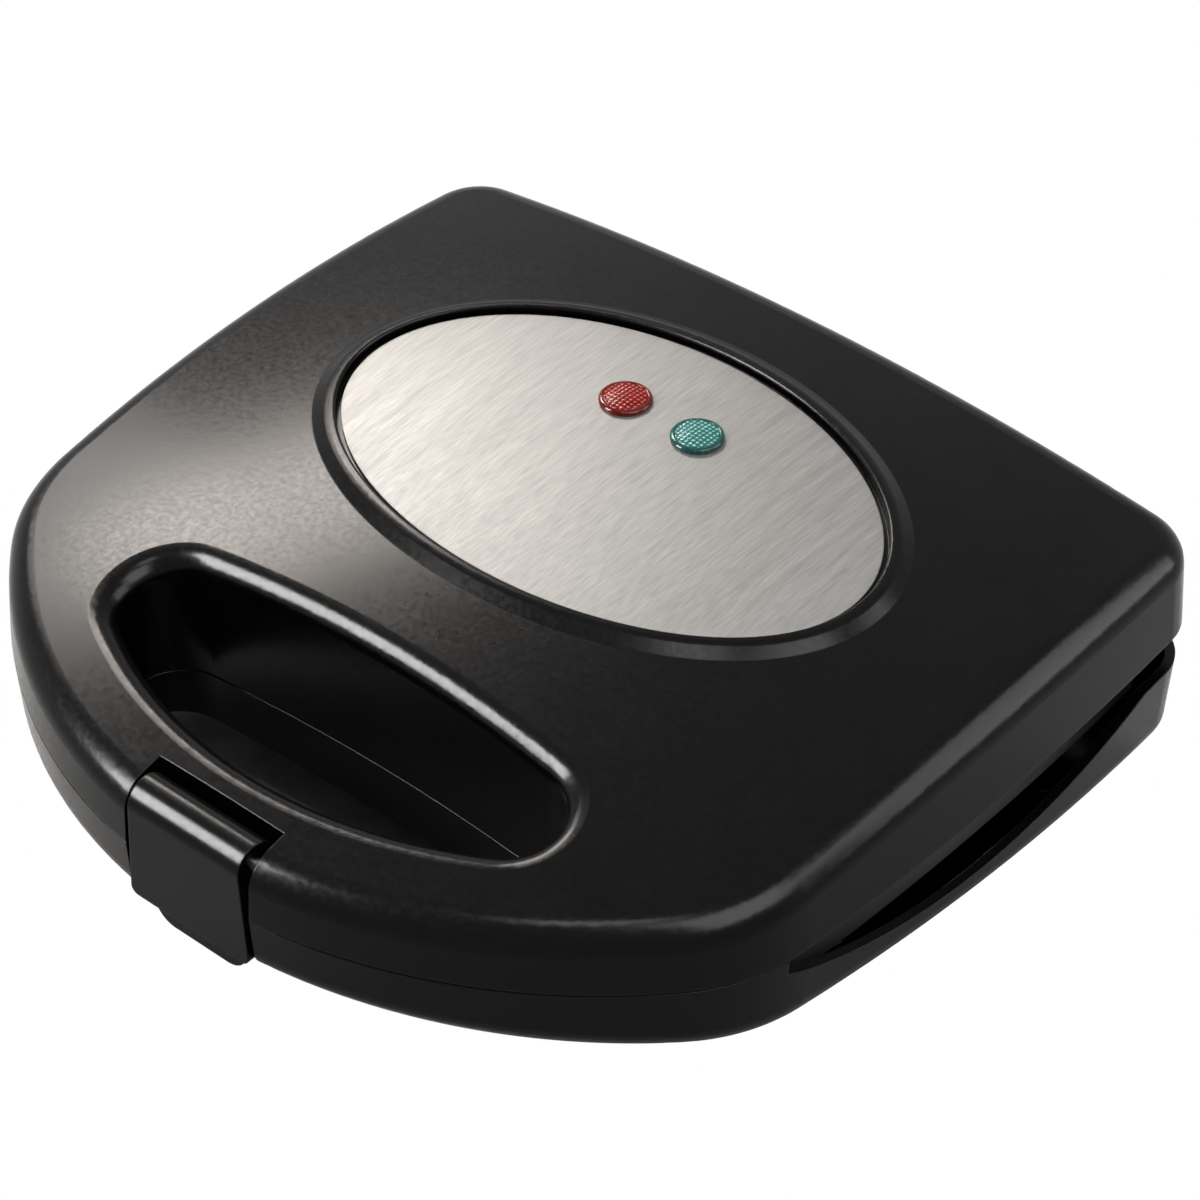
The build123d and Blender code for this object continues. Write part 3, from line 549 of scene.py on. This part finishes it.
@dataclass
class Studio:
    """The pale floor, its colour darkened under the object as painted shade, the white
    surroundings and the lamps.
    """

    centre: Vector = field(default_factory=lambda: Vector((0.0, 0.0, 0.06)))
    floor_half: float = 4.0
    floor_tone: Tone = (0.8, 0.8, 0.8)
    floor_rough: float = 0.9
    floor_mottle: float = 0.06
    floor_mottle_scale: float = 90.0
    shade_half: tuple[float, float] = (0.108, 0.098)
    shade_middle: tuple[float, float] = (-0.021, 0.019)
    # The floor's colour under the object: painted shade.
    painted_shade_tone: float = 0.2
    shade_edge: Span = (0.85, 1.0)
    shade_span: Span = (NOISE_LOW, 0.66)
    eye_shade: Span = (0.9, 1.0)
    gloss_shade: Span = (1.15, 2.0)
    surround: float = 0.2
    lamps: tuple[Softbox, ...] = (
        Softbox("key_softbox", 151.5, 40.0, 1.3, 0.46, 0.23, 48.0, (1.0, 0.93, 0.86)),
        Softbox("key_spill", 165.0, 33.0, 1.5, 0.50, 0.46, 12.0, (1.0, 0.95, 0.91)),
        Softbox("top_panel", 300.0, 76.0, 1.6, 0.36, 0.36, 16.0),
        Softbox("front_left_panel", 229.0, 30.0, 1.4, 0.50, 0.84, 90.0, gloss_only=True),
        Softbox("front_right_panel", 354.0, 48.0, 1.4, 0.90, 1.00, 13.0, gloss_only=True),
        Softbox("right_panel", 40.0, 24.0, 1.4, 0.80, 1.20, 9.0, gloss_only=True),
    )

    def white_share(self, recipe: Recipe, reach: Socket) -> Socket:
        """Gives the share of white that a ray sees on the floor, directly or by gloss or glass.

        Args:
            recipe: the floor's recipe.
            reach: the distance from the middle of the patch of painted shade, 1 at its edge.

        Returns:
            The value socket, 0 for rays that only carry light.
        """
        path = recipe.add("ShaderNodeLightPath")
        total = None
        for name, span in (("Is Camera Ray", self.eye_shade),
                           ("Is Transmission Ray", self.eye_shade),
                           ("Is Glossy Ray", self.gloss_shade)):
            share = recipe.combined("MULTIPLY", recipe.ranged(reach, 0.0, 1.0, *span),
                                    path.outputs[name])
            total = share if total is None else recipe.combined("ADD", total, share, True)
        return total

    def shade_reach(self, recipe: Recipe) -> Socket:
        """Gives the distance from the middle of the patch under the object where the floor's
        colour is darkened as painted shade.

        Args:
            recipe: the floor's recipe.

        Returns:
            The value socket, 1 at the patch's edge.
        """
        offset = recipe.add("ShaderNodeVectorMath", operation="SUBTRACT")
        offset.inputs[1].default_value = (*self.shade_middle, 0.0)
        recipe.join(recipe.place, offset.inputs[0])
        share = recipe.add("ShaderNodeVectorMath", operation="DIVIDE")
        share.inputs[1].default_value = (*self.shade_half, 1.0)
        recipe.join(offset.outputs[0], share.inputs[0])
        length = recipe.add("ShaderNodeVectorMath", operation="LENGTH")
        recipe.join(share.outputs[0], length.inputs[0])
        return length.outputs["Value"]

    def floor_material(self) -> bpy.types.Material:
        """Mixes the floor's material: white to the eye, plain to the light, its colour darkened
        under the object as painted shade.

        Returns:
            The new material.
        """
        recipe = Recipe("pale_floor")
        reach = self.shade_reach(recipe)
        spots = recipe.ranged(recipe.noise(recipe.place, self.floor_mottle_scale),
                              0.0, self.floor_mottle)
        # The floor's colour darkens under the object: painted shade, with random mottle added.
        tone = recipe.combined("ADD", recipe.ranged(reach, *self.shade_span, *self.shade_edge),
                               spots)
        under = (self.painted_shade_tone, self.painted_shade_tone, self.painted_shade_tone)
        recipe.put(Base_Color=recipe.blended(tone, under, self.floor_tone),
                   Roughness=self.floor_rough, Specular_IOR_Level=0.0)
        white = recipe.add("ShaderNodeEmission")
        white.inputs["Strength"].default_value = 1.0
        mixed = recipe.add("ShaderNodeMixShader")
        recipe.join(self.white_share(recipe, reach), mixed.inputs[0])
        recipe.join(recipe.shader.outputs[0], mixed.inputs[1])
        recipe.join(white.outputs[0], mixed.inputs[2])
        recipe.join(mixed.outputs[0], recipe.out.inputs["Surface"])
        return recipe.material

    def lay_floor(self) -> None:
        """Makes the floor, a plain square that isn't part of the object."""
        mesh = bpy.data.meshes.new("floor")
        half = self.floor_half
        corners = [(-half, -half, 0), (half, -half, 0), (half, half, 0), (-half, half, 0)]
        mesh.from_pydata(corners, [], [(0, 1, 2, 3)])
        floor = bpy.data.objects.new("floor", mesh)
        bpy.context.scene.collection.objects.link(floor)
        mesh.materials.append(self.floor_material())

    def surround_white(self) -> None:
        """Makes the world white to the eye and plain to the light."""
        world = bpy.data.worlds.new("surroundings")
        bpy.context.scene.world = world
        world.use_nodes = True
        nodes, links = world.node_tree.nodes, world.node_tree.links
        nodes.clear()
        out = nodes.new("ShaderNodeOutputWorld")
        path = nodes.new("ShaderNodeLightPath")
        total = path.outputs["Is Camera Ray"]
        for name in ("Is Glossy Ray", "Is Transmission Ray"):
            plus = nodes.new("ShaderNodeMath")
            plus.operation = "ADD"
            plus.use_clamp = True
            links.new(total, plus.inputs[0])
            links.new(path.outputs[name], plus.inputs[1])
            total = plus.outputs[0]
        mixed = nodes.new("ShaderNodeMixShader")
        links.new(total, mixed.inputs[0])
        for place, strength in ((1, self.surround), (2, 1.0)):
            glow = nodes.new("ShaderNodeBackground")
            glow.inputs["Color"].default_value = WHITE
            glow.inputs["Strength"].default_value = strength
            links.new(glow.outputs[0], mixed.inputs[place])
        links.new(mixed.outputs[0], out.inputs["Surface"])

    def set_up(self) -> None:
        """Lays the floor, sets the surroundings and hangs the lamps."""
        self.lay_floor()
        self.surround_white()
        for lamp in self.lamps:
            lamp.hang(self.centre)
        bpy.context.scene.view_settings.view_transform = "Standard"


# ---------------------------------------------------------------- pieces


@dataclass
class PackedPieces:
    """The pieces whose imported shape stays, with their finishes."""

    shelf: FinishShelf
    finishes: dict[str, Finish]

    def dress(self) -> None:
        """Puts each node's finish on its slots."""
        for name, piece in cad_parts.items():
            material = self.shelf.material(self.finishes[name])
            for slot in piece.material_slots:
                slot.material = material
            log.info("%s wears %s", name, material.name)


@dataclass(frozen=True)
class Crown:
    """The sphere that the top of the lid follows."""

    radius: float = 701.0 * MM
    middle: tuple[float, float] = (0.0, 52.3 * MM)
    top: float = 76.4 * MM

    def height(self, x: float, y: float) -> float:
        """Gives the height of the crown over a point."""
        aside = (x - self.middle[0]) ** 2 + (y - self.middle[1]) ** 2
        return self.top - self.radius + math.sqrt(self.radius ** 2 - aside)


@dataclass
class Turned:
    """A mesh turned about an upright axis from a profile of radius and height."""

    name: str
    centre: tuple[float, float]
    profile: list[tuple[float, float]]
    segments: int = 96

    def ring(self, mesh: bmesh.types.BMesh, radius: float,
             height: float) -> list[bmesh.types.BMVert]:
        """Adds one ring of vertices, or a single one on the axis.

        Args:
            mesh: the mesh to add to.
            radius: the ring's radius, 0 for the axis.
            height: the ring's height.

        Returns:
            The new vertices.
        """
        if radius == 0.0:
            return [mesh.verts.new((*self.centre, height))]
        verts = []
        for step in range(self.segments):
            angle = 2.0 * math.pi * step / self.segments
            verts.append(mesh.verts.new((self.centre[0] + radius * math.cos(angle),
                                         self.centre[1] + radius * math.sin(angle), height)))
        return verts

    def turn(self) -> bpy.types.Object:
        """Turns the profile, which starts and ends on the axis, into a closed smooth mesh.

        Returns:
            The new object, linked to the scene.
        """
        mesh = bmesh.new()
        rings = [self.ring(mesh, radius, height) for radius, height in self.profile]
        for lower, upper in zip(rings, rings[1:]):
            for step in range(self.segments):
                after = (step + 1) % self.segments
                corners = [lower[step % len(lower)], lower[after % len(lower)],
                           upper[after % len(upper)], upper[step % len(upper)]]
                mesh.faces.new(list(dict.fromkeys(corners)))
        bmesh.ops.recalc_face_normals(mesh, faces=mesh.faces)
        for face in mesh.faces:
            face.smooth = True
        data = bpy.data.meshes.new(self.name)
        mesh.to_mesh(data)
        mesh.free()
        piece = bpy.data.objects.new(self.name, data)
        bpy.context.scene.collection.objects.link(piece)
        return piece


@dataclass
class IndicatorLens:
    """A clear button on the trim plate: a rim with a stem, round a shallow dome over pillows."""

    node: str
    shelf: FinishShelf
    rim_finish: TintedClear
    dome_finish: TintedClear
    crown: Crown = field(default_factory=Crown)
    stem_r: float = 4.4 * MM
    stem: float = 4.2 * MM
    stem_chamfer: float = 0.2 * MM
    rim_r: float = 6.35 * MM
    rim_underside_inset: float = 0.05 * MM
    rim_floor: float = 0.90 * MM
    seat_reach: float = 0.01 * MM
    seat_margin: float = 1.0 * MM
    dome_r: float = 5.15 * MM
    dome_gap: float = 0.02 * MM
    dome_floor: float = 0.92 * MM
    rise: float = 1.7 * MM
    dome_edge: float = 1.22 * MM
    dome_rings: int = 24
    dome_segments: int = 144
    pillow_rise: float = 0.13 * MM
    pillow_fade: float = 8.0
    # The rounded lip of the rim: radius and height over the seat, in millimetres.
    rim_lip: tuple[tuple[float, float], ...] = (
        (6.35, 0.10), (6.35, 0.62), (6.31, 0.80), (6.20, 0.98), (6.02, 1.13), (5.80, 1.24),
        (5.58, 1.29), (5.40, 1.28), (5.26, 1.20), (5.17, 1.08), (5.15, 0.92), (4.9, 0.90))

    def middle(self) -> tuple[float, float, float]:
        """Gives the place of the button's seat: its middle and the height of the plate there."""
        low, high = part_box(self.node)
        return (low[0] + high[0]) / 2.0, (low[1] + high[1]) / 2.0, high[2] - self.rise

    def rim(self) -> bpy.types.Object:
        """Builds the rim with its stem and seats its underside on the plate.

        Returns:
            The rim piece.
        """
        x, y, seat = self.middle()
        foot = seat - self.stem
        profile = [(0.0, foot), (self.stem_r - self.stem_chamfer, foot),
                   (self.stem_r, foot + self.stem_chamfer), (self.stem_r, seat),
                   (self.rim_r - self.rim_underside_inset, seat)]
        profile += [(radius * MM, seat + height * MM) for radius, height in self.rim_lip]
        profile.append((0.0, seat + self.rim_floor))
        piece = Turned(self.node + "_rim", (x, y), profile).turn()
        for vert in piece.data.vertices:
            aside = math.hypot(vert.co.x - x, vert.co.y - y)
            at_seat = abs(vert.co.z - seat) < self.seat_reach
            if at_seat and aside > self.stem_r + self.seat_margin:
                vert.co.z = self.crown.height(vert.co.x, vert.co.y)
        return piece

    def pillow(self, x: float, y: float) -> float:
        """Gives the height of the pillows at a point, from 0 between them to 1 on their tops."""
        along, across = (0.5 - 0.5 * math.cos(2.0 * math.pi * place / self.dome_finish.pitch)
                         for place in (x, y))
        return along * across

    def dome(self) -> bpy.types.Object:
        """Builds the shallow dome inside the rim, with its rows of pillows.

        Returns:
            The dome piece.
        """
        x, y, seat = self.middle()
        outer = self.dome_r - self.dome_gap
        profile = [(0.0, seat + self.dome_floor), (outer, seat + self.dome_floor)]
        for step in range(self.dome_rings, -1, -1):
            share = step / self.dome_rings
            height = self.rise - (self.rise - self.dome_edge) * share ** 2
            profile.append((outer * share, seat + height))
        piece = Turned(self.node + "_dome", (x, y), profile, self.dome_segments).turn()
        for vert in piece.data.vertices:
            inward = 1.0 - math.hypot(vert.co.x - x, vert.co.y - y) / outer
            if vert.co.z > seat + self.dome_edge and inward > 0.0:
                sunk = self.pillow_rise * (1.0 - self.pillow(vert.co.x, vert.co.y))
                vert.co.z -= sunk * min(1.0, inward * self.pillow_fade)
        return piece

    def build(self) -> None:
        """Builds, dresses and mounts both pieces on the lid."""
        for piece, finish in ((self.rim(), self.rim_finish), (self.dome(), self.dome_finish)):
            piece.data.materials.append(self.shelf.material(finish))
            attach(piece, Body.LID.value)
            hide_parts(self.node)
            log.info("%s: %d faces", piece.name, len(piece.data.polygons))


def main() -> None:
    """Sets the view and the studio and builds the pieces."""
    logging.basicConfig(level=logging.INFO, format="%(message)s")
    View().set_up()
    Studio().set_up()
    shelf = FinishShelf()
    PackedPieces(shelf, NODE_FINISHES).dress()
    IndicatorLens("red_lens", shelf, RED_RIM, RED_CLEAR).build()
    IndicatorLens("green_lens", shelf, GREEN_RIM, GREEN_CLEAR).build()


if __name__ == "__main__":
    main()
